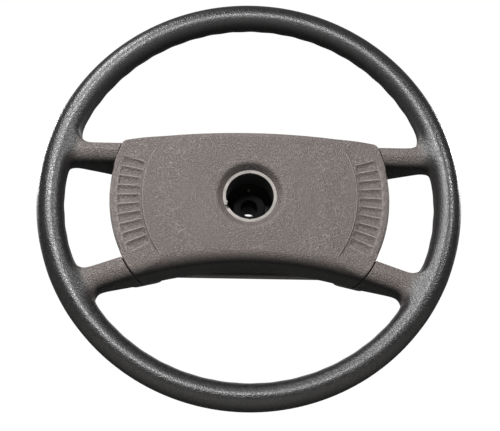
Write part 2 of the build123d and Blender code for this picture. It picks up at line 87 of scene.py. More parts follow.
# %% Helpers
MERGE = 0.001 * MM


def row_frame(across, up, height):
    """Millimetres as the driver sees them, as points of the frame in metres."""
    return np.stack([across, -np.asarray(height), up], axis=-1).reshape(-1, 3) * MM


def new_piece(name, points, faces):
    """A mesh object at the origin, with its place in its points."""
    mesh = bpy.data.meshes.new(name)
    mesh.from_pydata(points, [], faces)
    piece = bpy.data.objects.new(name, mesh)
    bpy.context.scene.collection.objects.link(piece)
    return piece


def point_outwards(piece):
    """Merge doubles and turn all faces outwards."""
    shape = bmesh.new()
    shape.from_mesh(piece.data)
    bmesh.ops.remove_doubles(shape, verts=shape.verts, dist=MERGE)
    bmesh.ops.recalc_face_normals(shape, faces=shape.faces)
    shape.to_mesh(piece.data)
    shape.free()


def bridge(faces, loop, ring):
    """Add the faces between two closed loops of points."""
    for here in range(len(ring)):
        there = (here + 1) % len(ring)
        faces.append((loop[here], loop[there], ring[there], ring[here]))


def freeze(piece):
    """Turn the result of a piece's modifiers into its own plain mesh."""
    evaluated = piece.evaluated_get(bpy.context.evaluated_depsgraph_get())
    old, piece.data = piece.data, bpy.data.meshes.new_from_object(evaluated)
    piece.modifiers.clear()
    bpy.data.meshes.remove(old)
    piece.data.name = piece.name


def add(tree, kind, feeds=None, out=None, **settings):
    """Add a node with its settings and links; gives the output called out, or the first in use."""
    node = tree.nodes.new(kind if "Node" in kind else "ShaderNode" + kind)
    for key, value in settings.items():
        setattr(node, key, value)
    for socket, value in (feeds or {}).items():
        if isinstance(value, bpy.types.NodeSocket):
            tree.links.new(value, node.inputs[socket])
        else:
            node.inputs[socket].default_value = value
    if out:
        return node.outputs[out]
    return next((socket for socket in node.outputs if socket.enabled), node)


def subdivide(piece, levels):
    """Smooth a cage by rounds of subdivision."""
    smooth = piece.modifiers.new("smooth", "SUBSURF")
    smooth.levels = smooth.render_levels = levels
    freeze(piece)


def linear(hex_colour):
    """An sRGB hex colour as linear red, green, blue and full alpha."""
    parts = [int(hex_colour[i:i + 2], 16) / 255 for i in (1, 3, 5)]
    return [c / 12.92 if c < 0.04045 else ((c + 0.055) / 1.055) ** 2.4 for c in parts] + [1]


# %% [markdown]
# ## The sizes that the mouldings share
# These are the part's own sizes, in millimetres: the rim with its oval grip, the two kinds of
# spoke, and the steel arms inside, whose slope the backs of the spokes follow. A spoke has the
# slope and the rise of its middle line, its width, the radii of its roots above and below, and the
# width of the seam between its end and the pad.

# %% Shared sizes
RIM_RADIUS = 180.0
RIM_HEIGHT = 83.0
GRIP_ACROSS, GRIP_DEEP = 12.5, 13.0
Spoke = namedtuple("Spoke", "slope rise width root_above root_below seam")
SPOKES = Spoke(0.0, 40.2, 18.5, 9.0, 6.0, 0.5), Spoke(-19.5, -27.1, 21.0, 10.0, 9.0, 0.9)
SPOKE_FRONT = 90.5
PLATE_RADIUS, PLATE_MIDDLE, RING_RADIUS = 97.0, 32.5, 180.5
FOAM_HALF = 6.5
PAD_FACE, PAD_RADIUS, PAD_DRAFT = 94.0, 127.5, 6.5
ARM_SLOPE = (RIM_HEIGHT - PLATE_MIDDLE) / (RING_RADIUS - PLATE_RADIUS)


def arm_back(radius):
    """Height of the foam's back under the sloping arms, at a radius."""
    middle = PLATE_MIDDLE + (radius - PLATE_RADIUS) * ARM_SLOPE
    return middle - FOAM_HALF * math.hypot(1, ARM_SLOPE)


def pad_side(height):
    """Radius of the pad's drafted ends at a height."""
    return PAD_RADIUS - (PAD_FACE - height) * math.tan(math.radians(PAD_DRAFT))


print("the arms slope by", round(math.degrees(math.atan(ARM_SLOPE)), 1), "degrees")

# %% [markdown]
# ## Rim and spokes: a cage that flows together
# On the real wheel the rim and the spokes are one foam moulding whose corners all melt into each
# other. A ring and four bars with rounded edges would show where they meet. A subdivision surface
# doesn't: a coarse cage of four-sided faces is drawn round the shape, and each round of subdivision
# smooths it. First come the flanks of the spokes, which meet the rim in round corners, and the
# angles at which those corners start and end.

# %% Flanks and roots of the spokes
INNER_RADIUS = RIM_RADIUS - GRIP_ACROSS


def spoke_point(spoke, side, along, offset):
    """Across and up of a point beside a spoke's middle line; offset turns with the rim."""
    slope = math.radians(spoke.slope)
    rise = spoke.rise + offset * side
    across = along * math.cos(slope) - rise * math.sin(slope)
    return across * side, along * math.sin(slope) + rise * math.cos(slope)


def corner_centre(spoke, sign):
    """Along and rise of the middle of the round corner above (1) or below (-1), and its radius."""
    fillet = spoke.root_above if sign > 0 else spoke.root_below
    rise = spoke.rise + sign * (spoke.width / 2 + fillet)
    return math.sqrt((INNER_RADIUS - fillet)**2 - rise**2), rise, fillet


def flank(spoke, sign, radius):
    """Offset of a spoke's upper or lower flank at a radius, with its round corner to the rim."""
    along, rise, fillet = corner_centre(spoke, sign)
    far = INNER_RADIUS - fillet
    if radius > math.hypot(along, rise - sign * fillet):
        near = (radius**2 - fillet**2 + far**2) / (2 * far)
        beside = math.sqrt(max(radius**2 - near**2, 0))
        return (near * rise - sign * beside * along) / far - spoke.rise
    return sign * spoke.width / 2


roots = []
for spoke in SPOKES:
    level = math.asin(spoke.rise / INNER_RADIUS)
    above, below = (
        sign * (math.atan2(*corner_centre(spoke, sign)[1::-1]) - level) for sign in (1, -1)
    )
    for side in (1, -1):
        middle = spoke_point(spoke, side, INNER_RADIUS * math.cos(level), 0)
        centre = math.atan2(middle[1], middle[0]) % math.tau
        roots.append((centre, *(below, above)[::side], spoke, side))
roots.sort(key=lambda root: root[0])
print("spokes meet the rim at", [round(math.degrees(root[0])) for root in roots], "degrees")

# %% [markdown]
# The rim's cage is a ring of twelve-sided sections. At each spoke, four by four faces are left out
# on its inside, and loops of sixteen points will go from that opening along the spoke. Points of a
# cage lie outside the smooth shape, so the rings are drawn larger by the gain of a cubic spline.

# %% Cage of the rim
SECTION_SIDES = 12
PATCH = 4
PATCH_FIRST = 4
STATION_STEP = math.radians(7.0)


def spline_gain(step):
    """How much larger a ring of spline points is than the circle they make."""
    return 6 / (4 + 2 * math.cos(step))


stations, root_starts = [], []
for number, (centre, before, after, *_) in enumerate(roots):
    root_starts.append(len(stations))
    stations += [centre + shift for shift in (-before, -before / 2, 0, after / 2, after)]
    next_centre, next_before = roots[(number + 1) % len(roots)][:2]
    gap = (next_centre - next_before - centre - after) % math.tau
    steps = round(gap / STATION_STEP)
    stations += [centre + after + gap * step / steps for step in range(1, steps)]
station_count = len(stations)

points, faces = [], []
across_gain = spline_gain(math.tau / SECTION_SIDES)
for number, angle in enumerate(stations):
    step = (stations[(number + 1) % station_count] - stations[number - 1]) % math.tau / 2
    for corner in range(SECTION_SIDES):
        tilt = math.tau * corner / SECTION_SIDES
        radius = RIM_RADIUS * spline_gain(step) + GRIP_ACROSS * across_gain * math.cos(tilt)
        height = RIM_HEIGHT + GRIP_DEEP * across_gain * math.sin(tilt)
        points.append((radius * math.cos(angle), radius * math.sin(angle), height))


def rim_index(station, corner):
    """Number of a point of the rim's cage."""
    return station % station_count * SECTION_SIDES + corner % SECTION_SIDES


open_faces = {
    ((start + i) % station_count, PATCH_FIRST + j)
    for start in root_starts for i in range(PATCH) for j in range(PATCH)
}
for station in range(station_count):
    for corner in range(SECTION_SIDES):
        if (station, corner) not in open_faces:
            faces.append((
                rim_index(station, corner), rim_index(station + 1, corner),
                rim_index(station + 1, corner + 1), rim_index(station, corner + 1),
            ))
print(station_count, "stations round the rim and", len(faces), "faces of its cage")

# %% [markdown]
# The section of a spoke is a grid of five by five places, and a loop uses only its border. The
# lower front edge has a broad roll, the others a tight one.

# %% Section of a spoke
EDGE_STEP, ROLL_STEP = 4.6, 8.5
FRONT_DROPS = (3.6, 0.8, 0.0, 0.5, 1.8)
FRONT_PULLS = (3.0, 0.0, 0.0, 0.0, -0.6)
GRID = PATCH + 1
BORDER = (
    [(i, 0) for i in range(PATCH)] + [(PATCH, j) for j in range(PATCH)]
    + [(i, PATCH) for i in range(PATCH, 0, -1)] + [(0, j) for j in range(PATCH, 0, -1)]
)


def spread(first, second, fourth, last):
    """Five places, with the third halfway between its neighbours."""
    return first, second, (second + fourth) / 2, fourth, last


def spoke_grid(low, high, back, side):
    """Places across and heights of a spoke's section, from its front to its back."""
    rolls = (ROLL_STEP, EDGE_STEP)[::side]
    front_row = spread(low, low + rolls[0], high - rolls[1], high)
    back_row = spread(low, low + EDGE_STEP, high - EDGE_STEP, high)
    columns = [spread(SPOKE_FRONT, SPOKE_FRONT - roll, back + EDGE_STEP, back) for roll in rolls]
    grid = {
        (i, j): (
            front_row[i] + (back_row[i] - front_row[i]) * j / PATCH,
            columns[0][j] + (columns[1][j] - columns[0][j]) * i / PATCH,
        )
        for i in range(GRID) for j in range(GRID)
    }
    for i, (drop, pull) in enumerate(zip(FRONT_DROPS[::side], FRONT_PULLS[::side])):
        grid[i, 0] = (grid[i, 0][0] + pull * side, SPOKE_FRONT - drop)
    return grid


print("a loop of a spoke has", len(BORDER), "points")

# %% [markdown]
# The first loops follow the round corner between rim and spoke. The last one ends on the drafted
# side of the pad, a seam's width away, and its grid is filled to close the spoke.

# %% Loops along the spokes
LOOP_GAPS = (2.5, 6.5, 11.5, 20.0, 30.0)
END_STEP = 0.8


def fill(faces, grid):
    """Add the faces of a whole grid of points."""
    for i in range(PATCH):
        for j in range(PATCH):
            faces.append((grid[i, j], grid[i + 1, j], grid[i + 1, j + 1], grid[i, j + 1]))


def end_place(spoke, side, offset, height, extra):
    """Point of a spoke's end, beside the pad."""
    rise = spoke.rise + offset * side
    along = math.sqrt((pad_side(height) + spoke.seam + extra)**2 - rise**2)
    return (*spoke_point(spoke, side, along, offset), height)


end_edges = []
for (*_, spoke, side), start in zip(roots, root_starts):
    loop = [rim_index(start + i, PATCH_FIRST + j) for i, j in BORDER]
    half = spoke.width / 2
    loops = []
    for gap in LOOP_GAPS:
        radius = INNER_RADIUS - gap
        low, high = (flank(spoke, sign, radius) * side for sign in (-side, side))
        grid = spoke_grid(low, high, arm_back(radius), side)
        loops.append([])
        for offset, height in (grid[place] for place in BORDER):
            along = math.sqrt(radius**2 - (spoke.rise + offset * side)**2)
            loops[-1].append((*spoke_point(spoke, side, along, offset), height))
    grid = spoke_grid(-half, half, arm_back(pad_side(arm_back(PAD_RADIUS))), side)
    for extra in (END_STEP, 0):
        loops.append([end_place(spoke, side, *grid[k], extra) for k in BORDER])
    for ring in loops:
        first = len(points)
        points += ring
        new_loop = range(first, first + len(ring))
        bridge(faces, loop, new_loop)
        loop = new_loop
    end_edges += [(loop[k], loop[(k + 1) % len(loop)]) for k in range(len(loop))]
    known = dict(zip(BORDER, loop))
    for i in range(1, PATCH):
        for j in range(1, PATCH):
            known[i, j] = len(points)
            points.append(end_place(spoke, side, *grid[i, j], 0))
    fill(faces, known)
print("cage of rim and spokes:", len(points), "points,", len(faces), "faces")

# %% [markdown]
# The edge of each spoke's end is creased so that it stays crisp, and the points that no face uses
# are deleted from the openings. Then three rounds of subdivision smooth the cage.

# %% Smooth rim and spokes
END_CREASE = 0.95
SMOOTH_LEVELS = 3

grip = new_piece("grip_skin", row_frame(*np.array(points).T), faces)
shape = bmesh.new()
shape.from_mesh(grip.data)
shape.verts.ensure_lookup_table()
crease = shape.edges.layers.float.new("crease_edge")
for a, b in end_edges:
    shape.edges.get((shape.verts[a], shape.verts[b]))[crease] = END_CREASE
loose = [v for v in shape.verts if not v.link_faces]
bmesh.ops.delete(shape, geom=loose, context="VERTS")
bmesh.ops.recalc_face_normals(shape, faces=shape.faces)
shape.to_mesh(grip.data)
shape.free()
subdivide(grip, SMOOTH_LEVELS)
print("rim and spokes:", len(grip.data.polygons), "faces")

# %% [markdown]
# ## Helpers for Geometry Nodes
# Finger grips, thumb flutes and coil springs repeat by a rule, so Geometry Nodes make them. Their
# trees start and end alike: sizes come in by their names, and real geometry with its finish goes
# out. Grips and flutes both ask where a point lies round the shaft, and fade out by soft steps.

# %% Helpers for Geometry Nodes
def node_tree(name, sizes):
    """A Geometry Nodes tree with named inputs for its sizes; gives the tree and its inputs."""
    tree = bpy.data.node_groups.new(name, "GeometryNodeTree")
    tree.interface.new_socket("Geometry", in_out="INPUT", socket_type="NodeSocketGeometry")
    for label in sizes:
        tree.interface.new_socket(label, in_out="INPUT", socket_type="NodeSocketFloat")
    tree.interface.new_socket("Geometry", in_out="OUTPUT", socket_type="NodeSocketGeometry")
    return tree, add(tree, "NodeGroupInput").node.outputs


def use_tree(piece, tree, sizes):
    """Put a tree on a piece, set its sizes by their identifiers and freeze the result."""
    modifier = piece.modifiers.new(tree.name, "NODES")
    modifier.node_group = tree
    for item in tree.interface.items_tree:
        if item.in_out == "INPUT" and item.name in sizes:
            modifier[item.identifier] = sizes[item.name]
    piece.update_tag()
    freeze(piece)


def polar(tree):
    """Nodes that give a point's mirrored angle round the shaft, its radius and its height."""
    spot = add(tree, "GeometryNodeInputPosition")
    place = add(tree, "SeparateXYZ", {0: spot}).node.outputs
    across = add(tree, "Math", {0: place["X"]}, operation="ABSOLUTE")
    angle = add(tree, "Math", {0: place["Z"], 1: across}, operation="ARCTAN2")
    flat = add(tree, "CombineXYZ", {"X": across, "Z": place["Z"]})
    radius = add(tree, "VectorMath", {0: flat}, operation="LENGTH")
    height = add(tree, "Math", {0: place["Y"], 1: -1.0}, operation="MULTIPLY")
    return angle, radius, height


def masked(tree, push, masks):
    """Multiply a push by soft steps; a mask has a value, a start and an end."""
    for value, start, end in masks:
        feeds = {"Value": value, "From Min": start, "From Max": end}
        mask = add(tree, "MapRange", feeds, interpolation_type="SMOOTHSTEP")
        push = add(tree, "Math", {0: push, 1: mask}, operation="MULTIPLY")
    return push


def finish_tree(tree, geometry, material):
    """End a tree: make all of it real geometry, with its finish."""
    real = add(tree, "GeometryNodeRealizeInstances", {"Geometry": geometry})
    dressed = add(tree, "GeometryNodeSetMaterial", {"Geometry": real, "Material": material})
    add(tree, "NodeGroupOutput", {"Geometry": dressed})


print("helpers for Geometry Nodes are ready")

# %% [markdown]
# ## Finger grips on the inside of the rim
# The rim's inside and back carry shallow finger grips, about 54 in a full turn, that stop short of
# the spokes. Each point reads its angle round the shaft, and a wave pushes it into the foam. Masks
# keep the wave to the inner back of the rim's section and away from the roots.

# %% Finger grips with Geometry Nodes
FINGER_GRIPS = {
    "Count": 54.0, "Depth": 0.4 * MM, "Clear": math.radians(9.0), "Fade": math.radians(6.0),
}
INNER_FROM, INNER_TO = 4.0 * MM, 16.0 * MM
grip_finish = bpy.data.materials.new("foam_skin_polished_rim")

tree, sizes = node_tree("finger_grips", FINGER_GRIPS)
angle, radius, height = polar(tree)
clear = add(tree, "Math", {0: sizes["Clear"], 1: sizes["Fade"]}, operation="ADD")
inwards = add(tree, "Math", {0: RIM_RADIUS * MM, 1: radius}, operation="SUBTRACT")
backwards = add(tree, "Math", {0: RIM_HEIGHT * MM, 1: height}, operation="SUBTRACT")
both = add(tree, "Math", {0: inwards, 1: backwards}, operation="ADD")
masks = [(both, INNER_FROM, INNER_TO)]
for centre in (math.remainder(root[0], math.tau) for root in roots if root[-1] == 1):
    turned = add(tree, "Math", {0: angle, 1: centre}, operation="SUBTRACT")
    away = add(tree, "Math", {0: turned}, operation="ABSOLUTE")
    masks.append((away, sizes["Clear"], clear))
turns = add(tree, "Math", {0: angle, 1: sizes["Count"]}, operation="MULTIPLY")
wave = add(tree, "Math", {0: turns}, operation="COSINE")
# Halved and lowered, the wave runs from 0 on a ridge to -1 in a hollow
wave = add(tree, "Math", {0: wave, 1: 0.5, 2: -0.5}, operation="MULTIPLY_ADD")
push = add(tree, "Math", {0: wave, 1: sizes["Depth"]}, operation="MULTIPLY")
push = masked(tree, push, masks)
normal = add(tree, "GeometryNodeInputNormal")
offset = add(tree, "VectorMath", {0: normal, "Scale": push}, operation="SCALE")
moved = add(tree, "GeometryNodeSetPosition", {"Geometry": sizes["Geometry"], "Offset": offset})
finish_tree(tree, moved, grip_finish)
use_tree(grip, tree, FINGER_GRIPS)
print("finger grips pressed into", grip.name)

# %% [markdown]
# ## Rings that follow an outline
# The pad and the tray behind it are both rings: each has a hole in its middle and an outline of
# arcs. So both are lofted from rows of points round the shaft. A row gives a radius and a height
# for every angle. Radii near the outline are found by halving a bracket on the distance to the
# arcs, with rounded corners, so that all rows near an edge run parallel to it. An arc has the rise
# of its centre, its radius and a sign: 1 where the ring lies inside it, -1 where it lies outside.

# %% Outlines and lofted rings
BRACKET = (20.0, 140.0)
HALVINGS = 40


def edge_distance(across, up, side, arcs, corner):
    """Distance outside an outline of a round side and further arcs, with rounded corners."""
    gaps = [np.hypot(across, up) - side]
    gaps += [sign * (np.hypot(across, up - centre) - radius) for centre, radius, sign in arcs]
    inner = np.array(gaps) + corner
    return np.linalg.norm(np.maximum(inner, 0), axis=0) + np.minimum(inner.max(axis=0), 0) - corner


def reach(angles, level, side, arcs, corner):
    """Radius, for each angle, at which the distance to the outline has this level."""
    near, far = (np.full(angles.shape, end) for end in BRACKET)
    for _ in range(HALVINGS):
        middle = (near + far) / 2
        gap = edge_distance(middle * np.cos(angles), middle * np.sin(angles), side, arcs, corner)
        near, far = np.where(gap > level, near, middle), np.where(gap > level, middle, far)
    return near


def ring_loft(name, angles, rows):
    """A closed ring from rows of radius and height."""
    count = len(angles)
    points = np.concatenate([
        row_frame(radius * np.cos(angles), radius * np.sin(angles), np.broadcast_to(height, count))
        for radius, height in rows
    ])
    faces = []
    for row in range(len(rows)):
        here, there = row * count, (row + 1) % len(rows) * count
        bridge(faces, range(here, here + count), range(there, there + count))
    piece = new_piece(name, points, faces)
    point_outwards(piece)
    return piece


print("helpers for lofted rings are ready")

# %% [markdown]
# ## The horn pad
# The pad is a block of foam with a crowned face, drafted ends and a bevelled hole where a badge
# once sat. A grid of straight rows would cut the flutes of the thumb zones at a slant, so the rows
# run round the shaft: every flute lies along a column. The columns stand close together at the
# flutes and the corners, and wide apart elsewhere. Their angles are listed in degrees.

# %% Columns of the pad
FLUTES = {
    "Count": 10.0, "Pitch": math.radians(4.45), "Top": math.radians(17.1),
    "Inner": 98.8 * MM, "Outer": 120.6 * MM, "Depth": 1.9 * MM,
}
FLUTE_COLUMNS, SPARE_COLUMNS = 8, 3
NOTCHES = ((15.2, 24.9), (-37.5, -28.4))
PAD_CORNERS = ((22.4, 27.6), (-40.5, -35.5))
CORNER_STEP, WIDE_STEP, LEAST_STEP, NOTCH_STEP, END_GAP = 0.4, 1.2, 0.09, 0.1, 0.5

flute_step = math.degrees(FLUTES["Pitch"]) / FLUTE_COLUMNS
last_column = FLUTES["Count"] * FLUTE_COLUMNS + SPARE_COLUMNS
fine = math.degrees(FLUTES["Top"]) - flute_step * np.arange(-SPARE_COLUMNS, last_column + 1)
notch_sides = np.ravel(NOTCHES)[:, None] + (-NOTCH_STEP, NOTCH_STEP)
wanted = np.sort(np.concatenate([
    fine, notch_sides.ravel(), *(np.arange(*corner, CORNER_STEP) for corner in PAD_CORNERS),
    np.arange(-90, fine.min(), WIDE_STEP),
    np.arange(fine.max() + END_GAP, 90 - END_GAP, WIDE_STEP), [90.0],
]))
kept = [wanted[0]]
for degrees in wanted[1:]:
    if degrees - kept[-1] > LEAST_STEP:
        kept.append(degrees)
right_half = np.radians(kept)
pad_angles = np.concatenate([right_half, (math.pi - right_half)[::-1][1:-1]])
mirrored = np.degrees(np.arctan2(np.sin(pad_angles), np.abs(np.cos(pad_angles))))
print(len(pad_angles), "columns round the pad")

# %% [markdown]
# The middle of the face stands a step above its ends. The rolled edge changes with the angle: tight
# beside the spokes, broader on the free ends and along the top, and broadest along the bottom. Soft
# steps lead from one roll to the next.

# %% Crown and rolled edge of the pad
PAD_UPPER, PAD_UPPER_ARC = 60.0, 760.0
PAD_LOWER, PAD_LOWER_ARC = -61.0, 340.0
PAD_ARCS = (
    (PAD_UPPER - PAD_UPPER_ARC, PAD_UPPER_ARC, 1), (PAD_LOWER - PAD_LOWER_ARC, PAD_LOWER_ARC, -1),
)
PAD_CORNER = 2.5
END_ROLL, SIDE_ROLL, TOP_ROLL, BOTTOM_ROLL = 2.2, 4.4, 5.5, 14.0
CROWN = 2600.0
PLATEAU_STEP = 1.3
PLATEAU_EDGE = (96.6, 98.1)
BOTTOM_ZONE, TOP_ZONE = (-36.5, -41.0), (25.5, 36.0)
UNDER_SPOKE, OVER_SPOKE = (13.5, 10.5), (-26.5, -23.5)
STEP_TOP, STEP_BOTTOM = (24.0, 31.0), (-33.0, -39.0)


def soft_step(value, start, end):
    """Smooth step from 0 to 1."""
    share = np.clip((value - start) / (end - start), 0, 1)
    return share * share * (3 - 2 * share)


at_bottom, at_top = (soft_step(mirrored, *zone) for zone in (BOTTOM_ZONE, TOP_ZONE))
at_side = soft_step(mirrored, *UNDER_SPOKE) * soft_step(mirrored, *OVER_SPOKE)
edge_roll = END_ROLL + (SIDE_ROLL - END_ROLL) * at_side + (TOP_ROLL - END_ROLL) * at_top
pad_roll = edge_roll + (BOTTOM_ROLL - END_ROLL) * at_bottom
step_share = (1 - soft_step(mirrored, *STEP_TOP)) * (1 - soft_step(mirrored, *STEP_BOTTOM))


def crowned(radius, share=1.0):
    """Height of the pad's crowned face; the raised middle ends in a step, or in a share of it."""
    step = PLATEAU_STEP * (1 - share * soft_step(radius, *PLATEAU_EDGE))
    return PAD_FACE - radius**2 / (2 * CROWN) + step


def pad_height(radius):
    """Height of every column of the face at a radius, with the broad roll along the bottom edge."""
    centre, arc, _ = PAD_ARCS[1]
    inside = np.hypot(radius * np.cos(pad_angles), radius * np.sin(pad_angles) - centre) - arc
    share = np.clip(1 - inside / BOTTOM_ROLL, 0, 1)
    return crowned(radius, step_share) - BOTTOM_ROLL * (1 - np.sqrt(1 - share**2))


def pad_reach(level, height):
    """Radius of the pad's outline, moved by level, at a height."""
    return reach(pad_angles, level, pad_side(height), PAD_ARCS, PAD_CORNER)


print("the pad's edge rolls by", round(pad_roll.min(), 1), "to", round(pad_roll.max(), 1), "mm")

# %% [markdown]
# The rows start in the hole and go round the whole section: up the bore, over the seat of the badge
# ring and the bevel, across the face, over the rolled edge, down the wall, round the rear edge and
# back along the hollow. The rows of the face lie close together at its step and at both ends of the
# flutes. The rear edge has notches where the steel arms pass.

# %% The pad's body
BORE, SEAT = 23.25, 24.6
SEAT_BACK, SEAT_FRONT = 86.3, 88.3
MOUTH = 30.5
LIP, LIP_ROWS = 3.4, 7
FACE_ROWS = (
    35.5, 40, 45, 50, 56, 63, 70, 77, 84, 90, 94, 95.6, 96.3, 96.8, 97.3, 97.8, 98.3, 98.9, 99.5,
    100.2, 101, 102.2, 105, 108, 111, 114, 117, 118.6, 119.4, 119.7, 120, 120.3, 120.6, 121.2, 122,
    123.5,
)
ROLL_ANGLES = np.radians(np.arange(0, 91, 10))
WALL_ROWS = (0.25, 0.5, 0.75, 1)
PAD_FLOOR, PAD_REAR, PAD_WALL = 61.0, 45.0, 6.0
REAR_ROUND, NOTCH_TOP = 1.2, 52.2

rows = [(BORE, PAD_FLOOR), (BORE, SEAT_BACK), (SEAT, SEAT_BACK), (SEAT, SEAT_FRONT)]
foot = np.array([SEAT, SEAT_FRONT])
corner = np.array([MOUTH, crowned(MOUTH)])
slope = (corner - foot) / np.linalg.norm(corner - foot)
lip_start = corner - slope * LIP
lip_end = np.array([MOUTH + LIP, crowned(MOUTH + LIP)])
rows.append(tuple((foot + lip_start) / 2))
for share in np.linspace(0, 1, LIP_ROWS):
    bend = lip_start * (1 - share)**2 + corner * 2 * share * (1 - share) + lip_end * share**2
    rows.append(tuple(bend))

edge_start = pad_reach(-pad_roll, PAD_FACE)
widest = PAD_RADIUS - END_ROLL
for row in FACE_ROWS:
    radius = lip_end[0] + (row - lip_end[0]) * (edge_start - lip_end[0]) / (widest - lip_end[0])
    rows.append((radius, pad_height(radius)))
for tilt in ROLL_ANGLES:
    drop = edge_roll * (1 - at_bottom) * (1 - math.cos(tilt))
    level = pad_roll * (math.sin(tilt) - 1)
    height = pad_height(pad_reach(level, PAD_FACE - drop)) - drop
    rows.append((pad_reach(level, height), height))

notched = np.any([(mirrored > low) & (mirrored < high) for low, high in NOTCHES], axis=0)
rear = np.where(notched, NOTCH_TOP, PAD_REAR)
wall_top = rows[-1][1]
for share in WALL_ROWS:
    height = wall_top + (rear + REAR_ROUND - wall_top) * share
    rows.append((pad_reach(0, height), height))
for level, lift in ((-REAR_ROUND, 0), (REAR_ROUND - PAD_WALL, 0), (-PAD_WALL, REAR_ROUND)):
    rows.append((pad_reach(level, rear), rear + lift))
rows.append((pad_reach(-PAD_WALL, np.full(len(pad_angles), PAD_FLOOR)), PAD_FLOOR))
pad = ring_loft("pad_skin", pad_angles, rows)
print("pad:", len(rows), "rows,", len(pad.data.polygons), "faces")

# %% [markdown]
# ## Thumb flutes
# Ten shallow flutes lie side by side at each end of the pad. Each point of the face reads how many
# pitches it lies below the top ridge. The part after the point of that number says where it lies
# between two ridges, and an arch over it gives the depth. Soft steps close the flutes at both ends.

# %% Thumb flutes with Geometry Nodes
FLUTE_INNER_END, FLUTE_OUTER_END = 2.4 * MM, 3.0 * MM
FACE_FROM, FACE_TO = 84.0 * MM, 85.0 * MM
pad_finish = bpy.data.materials.new("foam_skin_faded_grain")
tree, sizes = node_tree("thumb_flutes", FLUTES)
angle, radius, height = polar(tree)
below = add(tree, "Math", {0: sizes["Top"], 1: angle}, operation="SUBTRACT")
count = add(tree, "Math", {0: below, 1: sizes["Pitch"]}, operation="DIVIDE")
share = add(tree, "Math", {0: count}, operation="FRACT")
swing = add(tree, "Math", {0: share, 1: 2.0, 2: -1.0}, operation="MULTIPLY_ADD")
swing = add(tree, "Math", {0: swing, 1: 2.0}, operation="POWER")
arch = add(tree, "Math", {0: 1.0, 1: swing}, operation="SUBTRACT")
past_top = add(tree, "Math", {0: count, 1: 0.0}, operation="GREATER_THAN")
before_end = add(tree, "Math", {0: count, 1: sizes["Count"]}, operation="LESS_THAN")
inner_end = add(tree, "Math", {0: sizes["Inner"], 1: FLUTE_INNER_END}, operation="ADD")
outer_end = add(tree, "Math", {0: sizes["Outer"], 1: FLUTE_OUTER_END}, operation="SUBTRACT")
push = sizes["Depth"]
for factor in (arch, past_top, before_end):
    push = add(tree, "Math", {0: push, 1: factor}, operation="MULTIPLY")
push = masked(tree, push, (
    (radius, sizes["Inner"], inner_end), (radius, sizes["Outer"], outer_end),
    (height, FACE_FROM, FACE_TO),
))
offset = add(tree, "CombineXYZ", {"Y": push})
moved = add(tree, "GeometryNodeSetPosition", {"Geometry": sizes["Geometry"], "Offset": offset})
finish_tree(tree, moved, pad_finish)
use_tree(pad, tree, FLUTES)
print("flutes pressed into", pad.name)

# %% [markdown]
# ## The tray behind the pad
# Behind the pad the moulding of the rim widens to a shallow tray that covers the steel plate, with
# a round skirt on its back that meets the steering column. It is a lofted ring too, and its
# straight lower edge is an arc of a very large radius.

# %% Tray as a lofted ring
TRAY_RADIUS, TRAY_CORNER, TRAY_WALL = 118.0, 3.0, 5.0
TRAY_UPPER, TRAY_UPPER_ARC = 56.0, 997.0
TRAY_LOWER, STRAIGHT = -63.5, 100000.0
TRAY_ARCS = (
    (TRAY_UPPER - TRAY_UPPER_ARC, TRAY_UPPER_ARC, 1), (TRAY_LOWER - STRAIGHT, STRAIGHT, -1),
)
TRAY_BACK, TRAY_FLOOR, TRAY_TOP, TRAY_ROLL = 26.0, 31.0, 42.0, 4.0
SKIRT_BACK, SKIRT_BORE, SKIRT_RADIUS, SKIRT_ROLL = 12.0, 49.0, 60.0, 4.0
TRAY_COLUMNS = 240
BEVEL = 1.0
QUARTER = np.radians((0, 22.5, 45, 67.5, 90))
tray_angles = np.linspace(0, math.tau, TRAY_COLUMNS, endpoint=False)


def tray_reach(level):
    """Radius of the tray's outline, moved by level."""
    return reach(tray_angles, level, TRAY_RADIUS, TRAY_ARCS, TRAY_CORNER)


rows = [(SKIRT_BORE, TRAY_FLOOR), (SKIRT_BORE, SKIRT_BACK + BEVEL)]
rows.append((SKIRT_BORE + BEVEL, SKIRT_BACK))
for tilt in QUARTER:
    radius = SKIRT_RADIUS - SKIRT_ROLL * (1 - math.sin(tilt))
    rows.append((radius, SKIRT_BACK + SKIRT_ROLL * (1 - math.cos(tilt))))
rows.append((SKIRT_RADIUS, TRAY_BACK))
for tilt in QUARTER:
    radius = tray_reach(TRAY_ROLL * (math.sin(tilt) - 1))
    rows.append((radius, TRAY_BACK + TRAY_ROLL * (1 - math.cos(tilt))))
for level, height in (
    (0, TRAY_TOP - BEVEL), (-BEVEL, TRAY_TOP), (BEVEL - TRAY_WALL, TRAY_TOP),
    (-TRAY_WALL, TRAY_TOP - BEVEL), (-TRAY_WALL, TRAY_FLOOR),
):
    rows.append((tray_reach(level), height))
tray = ring_loft("tray", tray_angles, rows)
print("tray:", len(rows), "rows,", len(tray.data.polygons), "faces")

# %% [markdown]
# The arms come out of the tray under the pad's notches: four feet of foam, again as small smoothed
# cages, carry the backs of the spokes on to the tray. Each loop of a foot has a radius and a top,
# and its edges take at most a third of its depth.

